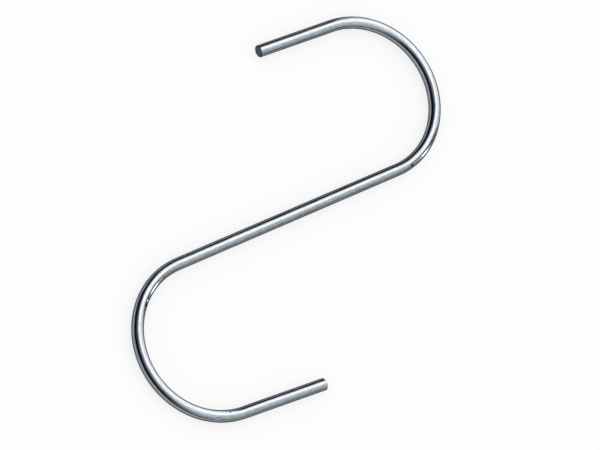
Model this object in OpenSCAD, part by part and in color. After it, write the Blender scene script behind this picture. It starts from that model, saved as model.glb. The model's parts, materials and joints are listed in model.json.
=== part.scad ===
// S hook bent from one length of round steel wire, lying flat as it comes to rest.
// X runs along the shank towards the upper hook, Z is square to the plane of the hook,
// and the origin is under the middle of the hook, on the surface that it lies on.

/* [Wire] */
// Diameter of the round wire
wire_d = 4; // [2:0.1:6]
// How much thinner bending leaves the wire all round each bend
bend_thinning = 0.04; // [0.02:0.01:0.2]
// Width of the bevel round each cut end
cut_bevel = 0.15; // [0.1:0.05:0.6]

/* [Shank] */
// Straight length between the two bends
shank_l = 85.5; // [50:0.1:200]

/* [Upper hook] */
// Clear width inside the upper bend
upper_gap_w = 46.5; // [30:0.1:80]
// Angle that the upper bend turns through, in degrees
upper_turn = 177.3; // [165:0.1:190]
// Straight length from the upper bend to its cut end
upper_arm_l = 27.8; // [10:0.1:60]

/* [Lower hook] */
// Clear width inside the lower bend
lower_gap_w = 46.5; // [30:0.1:80]
// Angle that the lower bend turns through, in degrees
lower_turn = 175.9; // [165:0.1:190]
// Straight length from the lower bend to its cut end
lower_arm_l = 30; // [10:0.1:60]

/* [Hidden] */

wire_r = wire_d / 2;
// Radius of each bend, at the middle of the wire
upper_bend_r = upper_gap_w / 2 + wire_r;
lower_bend_r = lower_gap_w / 2 + wire_r;

// How far a hook reaches sideways from the middle of the shank: to its arm's bevelled end
// where the bend stops short of a half turn, and to the top of the bend past one
function arm_reach(bend_r, turn, arm_l) =
    bend_r * (1 - cos(turn)) + (arm_l - cut_bevel) * sin(turn) - wire_r * cos(turn);
function bend_reach(bend_r, turn) = turn < 180 ? 0 : 2 * bend_r + wire_r;
function side_reach(bend_r, turn, arm_l) =
    max(arm_reach(bend_r, turn, arm_l), bend_reach(bend_r, turn));

upper_side = side_reach(upper_bend_r, upper_turn, upper_arm_l);
lower_side = side_reach(lower_bend_r, lower_turn, lower_arm_l);

// Where the middle of the shank lies, so that the hook is centred and rests at z = 0
shank_x = (lower_bend_r - upper_bend_r) / 2;
shank_y = (lower_side - upper_side) / 2;
shank_z = wire_r;

// How far each end of a bend runs on inside the straight wire that it joins, in degrees
tuck = 0.5;

wire_facets = 48;
bend_facets = 180;

// Straight wire from the origin along +X
module straight_wire(length) {
    rotate([0, 90, 0])
        cylinder(h = length, r = wire_r, $fn = wire_facets);
}

// Straight wire along +X whose far end is cut square and bevelled
module cut_wire(length) {
    rotate([0, 90, 0])
        rotate_extrude($fn = wire_facets)
            polygon([
                [0, 0],
                [wire_r, 0],
                [wire_r, length - cut_bevel],
                [wire_r - cut_bevel, length],
                [0, length]
            ]);
}

// Bend whose middle line leaves the origin along +X and turns towards +Y. Its ends run on
// inside the straight wires, so that the slightly thinner bend is one solid with them.
module bent_wire(bend_r, turn) {
    translate([0, bend_r, 0])
        rotate([0, 0, -90 - tuck])
            rotate_extrude(angle = turn + 2 * tuck, $fn = bend_facets)
                translate([bend_r, 0])
                    circle(d = wire_d - bend_thinning, $fn = wire_facets);
}

// One bend and its arm, leaving the end of the shank along +X
module hook_end(bend_r, turn, arm_l) {
    bent_wire(bend_r, turn);
    translate([0, bend_r, 0])
        rotate([0, 0, turn])
            translate([0, -bend_r, 0])
                cut_wire(arm_l);
}

// The whole hook: the lower end leaves the other end of the shank, turned half round
// in the plane of the hook
module s_hook() {
    color([0.74, 0.76, 0.78])
        translate([shank_x, shank_y, shank_z])
            union() {
                translate([-shank_l / 2, 0, 0])
                    straight_wire(shank_l);
                translate([shank_l / 2, 0, 0])
                    hook_end(upper_bend_r, upper_turn, upper_arm_l);
                rotate([0, 0, 180])
                    translate([shank_l / 2, 0, 0])
                        hook_end(lower_bend_r, lower_turn, lower_arm_l);
            }
}

s_hook();
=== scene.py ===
import json
import math

import bpy
import numpy as np
from mathutils import Matrix, Vector, noise


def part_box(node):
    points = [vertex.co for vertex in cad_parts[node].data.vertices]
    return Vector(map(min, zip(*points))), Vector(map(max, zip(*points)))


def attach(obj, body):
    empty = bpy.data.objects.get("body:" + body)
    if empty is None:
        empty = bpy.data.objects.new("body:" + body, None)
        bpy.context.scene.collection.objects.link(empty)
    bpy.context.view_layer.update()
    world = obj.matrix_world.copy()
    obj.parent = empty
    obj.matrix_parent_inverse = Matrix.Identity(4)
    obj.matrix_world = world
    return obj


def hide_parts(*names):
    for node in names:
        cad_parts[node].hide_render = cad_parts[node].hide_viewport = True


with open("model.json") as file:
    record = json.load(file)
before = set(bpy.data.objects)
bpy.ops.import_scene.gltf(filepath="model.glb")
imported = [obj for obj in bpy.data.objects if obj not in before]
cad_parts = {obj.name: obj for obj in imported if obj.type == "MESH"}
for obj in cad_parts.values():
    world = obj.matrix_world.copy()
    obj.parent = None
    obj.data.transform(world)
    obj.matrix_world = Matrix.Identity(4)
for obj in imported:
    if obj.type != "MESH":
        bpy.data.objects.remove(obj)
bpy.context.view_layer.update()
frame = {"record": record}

# The S hook is one length of bright plated steel wire, bent twice and sheared at both ends.
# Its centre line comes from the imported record's mounts, and this script sweeps the wire
# along it again with what the plain solid leaves out: a section that isn't quite round,
# flattened bends, rolled cut edges, torn end faces, small dents and the plating.

MM = 0.001

# --- the wire -------------------------------------------------------------------------

RING_STEP = 0.35 * MM       # spacing of the rings along the wire
DENT_STEP = 0.12 * MM       # and across a dent
SIDES = 88                  # points round each ring
CUT_EDGE = 0.15 * MM        # the solid's bevel, and the radius that shearing rolls the edge to
EDGE_STEPS = 6              # steps round that edge
FACE_STEPS = 12             # and from there to the middle of the cut face
LOBE_HEIGHT = 0.010 * MM    # how far the drawn wire's three faint lobes stand out
LOBE_PITCH = 170 * MM       # length of wire over which they turn a third of the way round
BEND_FLAT = 0.030 * MM      # how far the inner and outer sides of a bend are pressed in
BEND_EASE = 3.0 * MM        # how far before and past a bend's end that comes on
RIPPLE = 0.010 * MM         # unevenness of the plating, each way
RIPPLE_AROUND = 0.9 * MM    # size of its waves round the wire
RIPPLE_ALONG = 5.0 * MM     # and along it
FACE_DISH = 0.06 * MM       # how far the middle of a cut face is torn in
FACE_TEAR = 0.07 * MM       # height of the torn relief on it
TEAR_SIZE = 0.9 * MM        # size of that relief's lumps
TEAR_EASE = 0.25            # outer share of the face's radius over which it comes on

# Small dents: how far along the wire from the middle of the shank, towards the upper end,
# how many degrees round it, 0 on the left and 90 on top, the length, width and depth, and
# how much of the plating has come off in it
DENTS = (
    (-114.8 * MM, 115, 0.9 * MM, 0.6 * MM, 0.02 * MM, 0.8),
    (-110.7 * MM, 57, 1.5 * MM, 0.8 * MM, 0.13 * MM, 0.0),
    (-62.3 * MM, 126, 1.6 * MM, 1.0 * MM, 0.02 * MM, 1.0),
    (-61.0 * MM, 121, 1.3 * MM, 0.9 * MM, 0.035 * MM, 0.0),
    (-50.4 * MM, 128, 1.4 * MM, 0.6 * MM, 0.01 * MM, 0.8),
    (47.3 * MM, 124, 1.8 * MM, 0.9 * MM, 0.02 * MM, 1.0),
)
DENT_RAGGED = 0.5           # how ragged their outlines are
DENT_LUMPS = 0.4 * MM       # size of the lumps in them
DENT_SLOPE = 1.5            # how steeply they drop from their outlines
BARE_SLOPE = 3.0            # and how sharply the plating ends there


def mount(name):
    """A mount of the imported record, as its middle, its axis and its stated sizes."""
    found = next(m for m in frame["record"]["mounts"] if m["name"] == name)
    return Vector(found["pos_m"]), Vector(found["axis"]), found["dims"]


def wire_radius():
    low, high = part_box("s_hook")
    return (high.z - low.z) / 2


def hook_end(name):
    """Centre, radius and headings of one bend, and the length of its arm. The seat is a place
    on the inner side of the bend, and its axis points to the bend's centre. The arm runs
    straight on from the bend, so its middle line is one radius away from that centre."""
    middle, out, dims = mount(name + "_tip")
    seat, inward, _ = mount(name + "_seat")
    wire_r = wire_radius()
    across = Vector((out.y, -out.x, 0))
    gap_r = ((middle - seat).dot(across) - wire_r) / (1 + across.dot(inward))
    centre = seat + gap_r * inward
    return {
        "centre": centre,
        "radius": gap_r + wire_r,
        "arm": dims["length_mm"] * MM,
        "arm_heading": math.atan2(out.y, out.x),
        "shank_heading": 0.0 if centre.x > 0 else math.pi,
    }


def half_line(end, outs):
    """The centre line at some distances from the middle of the shank towards one cut end:
    its points, its headings and how far inside the bend each one is."""
    centre, radius, first = end["centre"], end["radius"], end["shank_heading"]
    turn = (end["arm_heading"] - first) % (2 * math.pi)
    bend = radius * turn
    places = outs - abs(centre.x)
    headings = first + np.clip(places / bend, 0, 1) * turn
    beyond = np.minimum(places, 0) + np.maximum(places - bend, 0)
    points = np.stack([
        centre.x + radius * np.sin(headings) + beyond * np.cos(headings),
        centre.y - radius * np.cos(headings) + beyond * np.sin(headings),
        np.full_like(places, centre.z),
    ], axis=1)
    return points, headings, np.minimum(places, bend - places)


def half_length(end):
    """Length of wire from the middle of the shank to where one cut end's edge is rolled."""
    turn = (end["arm_heading"] - end["shank_heading"]) % (2 * math.pi)
    return abs(end["centre"].x) + end["radius"] * turn + end["arm"]


def stations(first, last):
    """Where the rings stand along the wire: closer together across each dent. The last gap is
    from half a step to one and a half."""
    places = [first]
    while places[-1] < last - 1.5 * RING_STEP:
        near = any(abs(places[-1] - dent[0]) < dent[2] / 2 + RING_STEP for dent in DENTS)
        places.append(places[-1] + (DENT_STEP if near else RING_STEP))
    return np.array(places + [last])


def centre_line():
    """The whole centre line from the lower cut end to the upper one, with each point's
    distance along the wire from the middle of the shank."""
    lower, upper = hook_end("lower"), hook_end("upper")
    along = stations(-half_length(lower), half_length(upper))
    low = along < 0
    low_points, low_headings, low_inside = half_line(lower, -along[low])
    up_points, up_headings, up_inside = half_line(upper, along[~low])
    points = np.concatenate([low_points, up_points])
    headings = np.concatenate([low_headings - math.pi, up_headings])
    return points, headings, np.concatenate([low_inside, up_inside]), along


def smooth(x):
    x = np.clip(x, 0, 1)
    return x * x * (3 - 2 * x)


def ripple(along, angles, wire_r):
    """Depth of the plating's unevenness at each angle, from none to twice RIPPLE."""
    turns = wire_r / RIPPLE_AROUND
    waves = [noise.noise(Vector((turns * math.cos(a), turns * math.sin(a), along / RIPPLE_ALONG)))
             for a in angles]
    return RIPPLE * (1 + np.array(waves))


def dents(along, angles, wire_r):
    """Depth of the dents at each angle, and how much plating has come off there."""
    depth, bared = np.zeros_like(angles), np.zeros_like(angles)
    for middle, turn, length, width, deep, bare in DENTS:
        if abs(along - middle) > length:
            continue
        away = (angles - math.radians(turn) + math.pi) % (2 * math.pi) - math.pi
        reach = np.hypot((along - middle) / (length / 2), away * wire_r / (width / 2))
        reach += DENT_RAGGED * np.array([
            noise.noise(Vector((along / DENT_LUMPS, a * wire_r / DENT_LUMPS, middle / MM)))
            for a in away])
        depth += deep * smooth(DENT_SLOPE * (1 - reach))
        bared = np.maximum(bared, bare * smooth(BARE_SLOPE * (1 - reach)))
    return depth, bared


def section(along, inside, angles, wire_r):
    """The wire's radius at each angle round one ring: never more than the solid's."""
    lobes = np.cos(3 * angles + 2 * math.pi * along / LOBE_PITCH)
    flat = BEND_FLAT * smooth(0.5 + inside / (2 * BEND_EASE)) * np.cos(angles) ** 2
    return (wire_r - LOBE_HEIGHT * (2 - lobes) / 2 - flat
            - ripple(along, angles, wire_r) - dents(along, angles, wire_r)[0])


def torn(radii, angles, seed):
    """Depth of the torn relief round one ring of a cut face: lumps of three sizes, each half
    the one before."""
    lumps = []
    for r, a in zip(radii, angles):
        place = Vector((r * math.cos(a) / TEAR_SIZE, r * math.sin(a) / TEAR_SIZE, seed))
        lumps.append(noise.fractal(place, 1.0, 2.0, 3))
    return FACE_TEAR * np.clip(0.5 + 0.5 * np.array(lumps), 0, 1)


def cut_end(wall, angles, seed):
    """The rings of a cut end, from the wall to near the middle of its face: the radii of
    each and how far it lies past the end of the wall."""
    made = []
    for k in range(1, EDGE_STEPS + 1):
        rolled = k / EDGE_STEPS * math.pi / 2
        radii = wall - CUT_EDGE * (1 - math.cos(rolled))
        made.append((radii, np.full(SIDES, CUT_EDGE * math.sin(rolled))))
    for k in range(1, FACE_STEPS):
        share = 1 - k / FACE_STEPS
        radii = (wall - CUT_EDGE) * share
        relief = torn(radii, angles, seed) * smooth((1 - share) / TEAR_EASE)
        made.append((radii, CUT_EDGE - FACE_DISH * (1 - share ** 2) - relief))
    return made


def wire_rings():
    """The rings of the swept wire, each from underneath round to the left and back. With each
    point goes its place on the wire before it was bent, in mm across, up and along, which the
    materials draw on, and how bare it is."""
    wire_r = wire_radius()
    points, headings, inside, along = centre_line()
    angles = np.arange(SIDES) * 2 * math.pi / SIDES - math.pi / 2
    walls = [section(along[i], inside[i], angles, wire_r) for i in range(len(points))]
    rings, unbent, bared = [], [], []

    def add(i, radii, past):
        side = np.array([-math.sin(headings[i]), math.cos(headings[i]), 0])
        ahead = np.array([math.cos(headings[i]), math.sin(headings[i]), 0])
        across, up = radii * np.cos(angles), radii * np.sin(angles)
        rings.append(points[i] + across[:, None] * side + past[:, None] * ahead
                     + up[:, None] * np.array([0, 0, 1]))
        unbent.append(np.stack([across, up, along[i] + past], axis=1) / MM)
        bared.append(dents(along[i], angles, wire_r)[1])

    for radii, past in reversed(cut_end(walls[0], angles, 0)):
        add(0, radii, -past)
    for i, wall in enumerate(walls):
        add(i, wall, np.zeros(SIDES))
    for radii, past in cut_end(walls[-1], angles, 1):
        add(len(walls) - 1, radii, past)
    return np.array(rings), np.array(unbent), np.array(bared)


CUT_RINGS = EDGE_STEPS + FACE_STEPS - 1     # rings past the wall at each end
MAP_STRIPS = 5                              # strips of the bake map that the wall is cut into
MAP_GAP = 0.3 * MM                          # room between the parts of the map


def bake_map(rings):
    """Places of the corners of each face on a flat square map: the wall and its rolled edges
    are unrolled into strips, one under another, and the cut faces lie past the end of the
    last strip."""
    n = len(rings)
    steps_along = np.linalg.norm(np.diff(rings, axis=0), axis=2).mean(axis=1)
    first, last = FACE_STEPS - 1, n - FACE_STEPS
    run = np.concatenate([[0], np.cumsum(steps_along)])
    run -= run[first]
    face_r = wire_radius() + MAP_GAP
    strip = (run[last] + 4 * face_r) / MAP_STRIPS
    around = 2 * math.pi * wire_radius()
    pitch = around + MAP_GAP
    side = max(MAP_STRIPS * pitch, strip + 2 * RING_STEP)

    angles = np.arange(SIDES + 1) * 2 * math.pi / SIDES
    quads = np.empty((n - 1, SIDES, 4, 2))
    last_row = side - (MAP_STRIPS - 0.5) * pitch
    centres = [(strip - 3 * face_r, last_row), (strip - face_r, last_row)]

    def on_face(i, which):
        r = np.linalg.norm(rings[i] - rings[i].mean(axis=0), axis=1).mean()
        turn = angles if which else -angles
        return np.stack([centres[which][0] + r * np.cos(turn),
                         centres[which][1] + r * np.sin(turn)], axis=1)

    for i in range(n - 1):
        if first <= i < last:
            row = math.floor(run[i] / strip)
            x = run[i] - row * strip
            y = side - row * pitch - MAP_GAP - around * np.arange(SIDES + 1) / SIDES
            near = np.stack([np.full(SIDES + 1, x), y], axis=1)
            far = near + np.array([steps_along[i], 0])
        else:
            near, far = on_face(i, i >= last), on_face(i + 1, i >= last)
        quads[i] = np.stack([near[:-1], near[1:], far[1:], far[:-1]], axis=1)
    fans = np.empty((SIDES, 2, 3, 2))
    for which, i in enumerate((0, n - 1)):
        rim = on_face(i, which)
        ends = (rim[1:], rim[:-1]) if which == 0 else (rim[:-1], rim[1:])
        middle = np.broadcast_to(centres[which], (SIDES, 2))
        fans[:, which] = np.stack([middle, *ends], axis=1)
    return np.concatenate([quads.reshape(-1, 2), fans.reshape(-1, 2)]) / side


def build_wire():
    rings, unbent, bared = wire_rings()
    n = len(rings)
    verts = np.concatenate([rings.reshape(-1, 3), rings[[0, -1]].mean(axis=1)])
    places = np.concatenate([unbent.reshape(-1, 3), unbent[[0, -1]].mean(axis=1)])
    faces = []
    for i in range(n - 1):
        for j in range(SIDES):
            k = (j + 1) % SIDES
            faces.append((i * SIDES + j, i * SIDES + k, (i + 1) * SIDES + k, (i + 1) * SIDES + j))
    low_middle, high_middle = n * SIDES, n * SIDES + 1
    for j in range(SIDES):
        k = (j + 1) % SIDES
        faces.append((low_middle, k, j))
        faces.append((high_middle, (n - 1) * SIDES + j, (n - 1) * SIDES + k))
    mesh = bpy.data.meshes.new("bent_wire")
    mesh.from_pydata(verts.tolist(), [], faces)
    mesh.attributes.new("unbent", "FLOAT_VECTOR", "POINT").data.foreach_set(
        "vector", places.astype(np.float32).ravel())
    mesh.attributes.new("bared", "FLOAT", "POINT").data.foreach_set(
        "value", np.append(bared.ravel(), [0, 0]).astype(np.float32))
    mesh.uv_layers.new(name="OFBake").data.foreach_set(
        "uv", bake_map(rings).astype(np.float32).ravel())
    ring_of = np.minimum(np.arange(len(faces)) // SIDES, n - 1)
    cut = (ring_of < CUT_RINGS) | (ring_of >= n - 1 - CUT_RINGS)
    mesh.polygons.foreach_set("material_index", cut.astype(np.int32))
    mesh.polygons.foreach_set("use_smooth", [True] * len(faces))
    mesh.update()
    piece = bpy.data.objects.new("bent_wire", mesh)
    bpy.context.scene.collection.objects.link(piece)
    return piece


# --- materials ------------------------------------------------------------------------

def new_material(name):
    material = bpy.data.materials.new(name)
    material.use_nodes = True
    tree = material.node_tree
    return material, tree, tree.nodes["Principled BSDF"]


def vector_math(tree, operation, vector, factor=None):
    node = tree.nodes.new("ShaderNodeVectorMath")
    node.operation = operation
    tree.links.new(vector, node.inputs[0])
    if factor is not None:
        node.inputs[1].default_value = factor
    return node


def unbent_place(tree, factor):
    """The place on the wire before it was bent, each of its parts times factor."""
    place = tree.nodes.new("ShaderNodeAttribute")
    place.attribute_name = "unbent"
    return vector_math(tree, "MULTIPLY", place.outputs["Vector"], factor).outputs["Vector"]


def stretched_noise(tree, scale, detail=3.0, roughness=0.5):
    """Noise in the wire's unbent space, with scale in features a mm across, up and along."""
    texture = tree.nodes.new("ShaderNodeTexNoise")
    texture.inputs["Scale"].default_value = 1.0
    texture.inputs["Detail"].default_value = detail
    texture.inputs["Roughness"].default_value = roughness
    tree.links.new(unbent_place(tree, scale), texture.inputs["Vector"])
    return texture.outputs["Fac"]


def ranged(tree, value, low, high, start=0.3, end=0.7):
    """A value that goes from start to end, mapped so that it goes from low to high. Most of
    a noise lies between 0.3 and 0.7."""
    node = tree.nodes.new("ShaderNodeMapRange")
    node.inputs["From Min"].default_value = start
    node.inputs["From Max"].default_value = end
    node.inputs["To Min"].default_value = low
    node.inputs["To Max"].default_value = high
    tree.links.new(value, node.inputs["Value"])
    return node.outputs["Result"]


def fill(tree, socket, value):
    """Sets a socket to a number or colour, or links a node's output to it."""
    if isinstance(value, bpy.types.NodeSocket):
        tree.links.new(value, socket)
    elif isinstance(value, tuple):
        socket.default_value = (*value, 1)
    else:
        socket.default_value = value


def math_node(tree, operation, a, b):
    node = tree.nodes.new("ShaderNodeMath")
    node.operation = operation
    fill(tree, node.inputs[0], a)
    fill(tree, node.inputs[1], b)
    return node.outputs["Value"]


def blend_colours(tree, share, first, second):
    node = tree.nodes.new("ShaderNodeMix")
    node.data_type = "RGBA"
    tree.links.new(share, node.inputs["Factor"])
    fill(tree, node.inputs["A"], first)
    fill(tree, node.inputs["B"], second)
    return node.outputs["Result"]


def roughen(tree, shader, height, distance):
    """Bump whose height map, from 0 to 1, stands for a distance in metres."""
    bump = tree.nodes.new("ShaderNodeBump")
    bump.inputs["Strength"].default_value = 1.0
    bump.inputs["Distance"].default_value = distance
    tree.links.new(height, bump.inputs["Height"])
    tree.links.new(bump.outputs["Normal"], shader.inputs["Normal"])


PLATING_LOW = (0.455, 0.464, 0.458)         # the plating in the hollows of its grain
PLATING_HIGH = (0.645, 0.648, 0.650)        # and on its tops
PLATING_EDGE_ON = (0.03, 0.03, 0.04, 1)     # its tint where it is seen nearly edge on
PLATING_FILM = (0.595, 0.62, 0.655, 1)      # what the film on it lets through
PLATING_BUMP = 0.022 * MM                   # height of its grain, as bump
LINES_SHARE = 0.4                           # depth of the die lines, as a share of that
BARE_STEEL = (0.05, 0.05, 0.055)            # the steel where the plating has come off

CUT_LOW = (0.040, 0.043, 0.064)             # a cut face in its hollows
CUT_HIGH = (0.078, 0.084, 0.118)            # and on its tops
CUT_RIM = (0.012, 0.012, 0.018)             # and near its edge
CUT_RIM_IN, CUT_RIM_OUT = 1.5, 1.7          # how far out, in mm, that rim's colour comes on
CUT_BUMP = 0.03 * MM                        # height of its fine relief, as bump


def plated_steel():
    """Bright plating over drawn wire: long die lines, finer grain and a thin tinted film,
    which makes it darker towards its outline. Where a chip bares the steel it is near black."""
    material, tree, shader = new_material("plated_steel")
    lines = stretched_noise(tree, (4.0, 4.0, 0.15))
    grain = stretched_noise(tree, (2.0, 2.0, 0.6))
    cloud = stretched_noise(tree, (0.25, 0.25, 0.06), detail=2.0)
    colour = blend_colours(tree, ranged(tree, grain, 0.0, 1.0), PLATING_LOW, PLATING_HIGH)
    bare = tree.nodes.new("ShaderNodeAttribute")
    bare.attribute_name = "bared"
    colour = blend_colours(tree, bare.outputs["Fac"], colour, BARE_STEEL)
    tree.links.new(colour, shader.inputs["Base Color"])
    rough = math_node(tree, "ADD", ranged(tree, lines, 0.07, 0.15), ranged(tree, cloud, 0.0, 0.04))
    tree.links.new(rough, shader.inputs["Roughness"])
    shader.inputs["Metallic"].default_value = 1.0
    shader.inputs["Specular Tint"].default_value = PLATING_EDGE_ON
    shader.inputs["Coat Weight"].default_value = 1.0
    shader.inputs["Coat IOR"].default_value = 1.0
    shader.inputs["Coat Roughness"].default_value = 0.0
    shader.inputs["Coat Tint"].default_value = PLATING_FILM
    height = math_node(tree, "ADD", grain, math_node(tree, "MULTIPLY", lines, LINES_SHARE))
    roughen(tree, shader, height, PLATING_BUMP)
    return material


def cut_steel():
    """Bare sheared steel: mottled dark grey, near black on its rolled edge and rim."""
    material, tree, shader = new_material("cut_steel")
    relief = stretched_noise(tree, (3.0, 3.0, 3.0), detail=4.0, roughness=0.6)
    inner = blend_colours(tree, ranged(tree, relief, 0.0, 1.0), CUT_LOW, CUT_HIGH)
    from_middle = vector_math(tree, "LENGTH", unbent_place(tree, (1, 1, 0))).outputs["Value"]
    rim = ranged(tree, from_middle, 0.0, 1.0, CUT_RIM_IN, CUT_RIM_OUT)
    colour = blend_colours(tree, rim, inner, CUT_RIM)
    tree.links.new(colour, shader.inputs["Base Color"])
    tree.links.new(ranged(tree, relief, 0.38, 0.52), shader.inputs["Roughness"])
    shader.inputs["Metallic"].default_value = 1.0
    roughen(tree, shader, relief, CUT_BUMP)
    return material


# --- the studio -----------------------------------------------------------------------

TENT_R = 2.5                # radius of the light tent round the hook
TENT_STEP = 1.5             # degrees between the points of its grid
TENT_FOOT = -5.0            # elevation of its lower rim, below the floor

# The tent is white, and its light changes to the ceiling's further up. Each of its panels is
# given by the azimuths of its right and left sides, the elevation of its top, how wide its
# right, left and top edges fade, all in degrees, and its light. Azimuth 0 is +X and 90 is +Y.
# Every panel reaches down to the floor. The pale wall is part of the tent. The others stand
# before it, each before those above it in the list: a large lamp, the dark rest of the room,
# and a dark screen with a narrow bright lamp at its foot.
CEILING_FOOT = 26           # elevation from which the ceiling's light comes on
CEILING_FADE = 62           # degrees over which it does
CEILING_LIGHT = (1.58, 1.76, 1.86)
PALE_WALL = ((-98, -36), 120, (40, 33, 1), (1.00, 1.12, 1.08))
PANELS = {
    "softbox":      ((-41, 77), 115, (65, 5, 34), (3.22, 3.18, 3.09)),
    "dark_room":    ((74, 274), 130, (34, 64, 108), (0.006, 0.014, 0.036)),
    "dark_wall":    ((39, 198), 67, (16, 7, 45), (0.006, 0.014, 0.036)),
    "table_edge":   ((-157, -41), 15, (10, 8, 8), (0.010, 0.012, 0.018)),
    "screen":       ((-38, -16), 54, (7, 4, 16), (0.08, 0.13, 0.16)),
    "low_lamp":     ((-38.5, -30), 25, (3, 3, 6), (10.0, 10.0, 9.4)),
}


def tent_light(az, el):
    """The light of the tent at each azimuth and elevation."""
    light = np.ones((*az.shape, 3))

    def paint(cover, colour):
        light[:] = light * (1 - cover[..., None]) + cover[..., None] * np.array(colour)

    def paint_panel(sides, top, fades, colour):
        right, left = sides
        right_fade, left_fade, top_fade = fades
        middle = (right + left) / 2
        near = (az - middle + 180) % 360 - 180 + middle
        across = smooth((near - right) / right_fade) * smooth((left - near) / left_fade)
        paint(across * smooth((top - el) / top_fade), colour)

    paint_panel(*PALE_WALL)
    paint(smooth((el - CEILING_FOOT) / CEILING_FADE), CEILING_LIGHT)
    for panel in PANELS.values():
        paint_panel(*panel)
    return light


def add_tent():
    """A light tent that only the metal sees, and that lights nothing else."""
    wide = int(360 / TENT_STEP) + 1
    tall = int((90 - TENT_FOOT) / TENT_STEP) + 1
    az, el = np.meshgrid(np.linspace(-180, 180, wide), np.linspace(TENT_FOOT, 90, tall))
    a, e = np.radians(az), np.radians(el)
    verts = TENT_R * np.stack([np.cos(e) * np.cos(a), np.cos(e) * np.sin(a), np.sin(e)], axis=-1)
    faces = [(i * wide + j, i * wide + j + 1, (i + 1) * wide + j + 1, (i + 1) * wide + j)
             for i in range(tall - 1) for j in range(wide - 1)]
    mesh = bpy.data.meshes.new("light_tent")
    mesh.from_pydata(verts.reshape(-1, 3).tolist(), [], faces)
    mesh.attributes.new("light", "FLOAT_VECTOR", "POINT").data.foreach_set(
        "vector", tent_light(az, el).astype(np.float32).ravel())
    material = bpy.data.materials.new("tent_panels")
    material.use_nodes = True
    material.cycles.emission_sampling = "NONE"
    tree = material.node_tree
    tree.nodes.clear()
    light = tree.nodes.new("ShaderNodeAttribute")
    light.attribute_name = "light"
    glow = tree.nodes.new("ShaderNodeEmission")
    out = tree.nodes.new("ShaderNodeOutputMaterial")
    tree.links.new(light.outputs["Color"], glow.inputs["Color"])
    tree.links.new(glow.outputs["Emission"], out.inputs["Surface"])
    mesh.materials.append(material)
    tent = bpy.data.objects.new("light_tent", mesh)
    tent.visible_camera = False
    tent.visible_diffuse = False
    tent.visible_shadow = False
    bpy.context.scene.collection.objects.link(tent)


FLOOR_HALF = 15.0           # half the width of the floor
FLOOR_PAPER = (0.95, 0.95, 0.95, 1)
FLOOR_WHITE = 0.75          # share of plain white in the paper that the camera and metal see


def add_floor():
    """A plain pale floor. What the camera and the metal see of it is mostly plain white, and
    for the rest lit paper, which has the hook's shadow."""
    mesh = bpy.data.meshes.new("floor")
    half = FLOOR_HALF
    mesh.from_pydata([(-half, -half, 0), (half, -half, 0), (half, half, 0), (-half, half, 0)],
                     [], [(0, 1, 2, 3)])
    material, tree, shader = new_material("floor_paper")
    shader.inputs["Base Color"].default_value = FLOOR_PAPER
    shader.inputs["Roughness"].default_value = 1.0
    shader.inputs["Specular IOR Level"].default_value = 0.0
    path = tree.nodes.new("ShaderNodeLightPath")
    seen = math_node(tree, "ADD", path.outputs["Is Camera Ray"], path.outputs["Is Glossy Ray"])
    seen = math_node(tree, "ADD", seen, path.outputs["Is Transmission Ray"])
    white = tree.nodes.new("ShaderNodeEmission")
    mix = tree.nodes.new("ShaderNodeMixShader")
    tree.links.new(math_node(tree, "MULTIPLY", seen, FLOOR_WHITE), mix.inputs["Fac"])
    tree.links.new(shader.outputs["BSDF"], mix.inputs[1])
    tree.links.new(white.outputs["Emission"], mix.inputs[2])
    tree.links.new(mix.outputs["Shader"], tree.nodes["Material Output"].inputs["Surface"])
    mesh.materials.append(material)
    floor = bpy.data.objects.new("floor", mesh)
    bpy.context.scene.collection.objects.link(floor)


def add_world():
    """Plain white light from all round, at which a colour renders as it is written."""
    world = bpy.data.worlds.new("studio")
    world.use_nodes = True
    background = world.node_tree.nodes["Background"]
    background.inputs["Color"].default_value = (1, 1, 1, 1)
    background.inputs["Strength"].default_value = 1.0
    bpy.context.scene.world = world


# --- the camera -----------------------------------------------------------------------

CAMERA_AZIMUTH = -170.3     # where the camera stands, in degrees from +X towards +Y
CAMERA_ELEVATION = 60.6     # and how high, in degrees
CAMERA_ROLL = 55.6          # how far the camera is turned, anticlockwise from behind
SENSOR_WIDTH = 36.0         # in mm

# What the camera looks at, how far it stands from that, and how wide its view is there
AIM = Vector((2.3, -3.5, 2.0)) * MM
CAMERA_DISTANCE = 1848 * MM
VIEW_WIDTH = 188 * MM


def add_camera():
    data = bpy.data.cameras.new("camera")
    data.sensor_width = SENSOR_WIDTH
    data.lens = SENSOR_WIDTH * CAMERA_DISTANCE / VIEW_WIDTH
    data.clip_start = 0.05
    data.clip_end = 100.0
    camera = bpy.data.objects.new("camera", data)
    bpy.context.scene.collection.objects.link(camera)
    azimuth, elevation = math.radians(CAMERA_AZIMUTH), math.radians(CAMERA_ELEVATION)
    back = Vector((math.cos(elevation) * math.cos(azimuth),
                   math.cos(elevation) * math.sin(azimuth), math.sin(elevation)))
    level = Vector((0, 0, 1)).cross(back).normalized()
    upright = back.cross(level)
    roll = math.radians(CAMERA_ROLL)
    right = math.cos(roll) * level + math.sin(roll) * upright
    up = back.cross(right)
    turn = Matrix((right, up, back)).transposed().to_4x4()
    camera.matrix_world = Matrix.Translation(AIM + back * CAMERA_DISTANCE) @ turn
    bpy.context.scene.camera = camera


add_camera()
add_world()
add_floor()
add_tent()

wire = build_wire()
wire.data.materials.append(plated_steel())
wire.data.materials.append(cut_steel())
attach(wire, "root")
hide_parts("s_hook")

bpy.context.scene.view_settings.view_transform = "Standard"
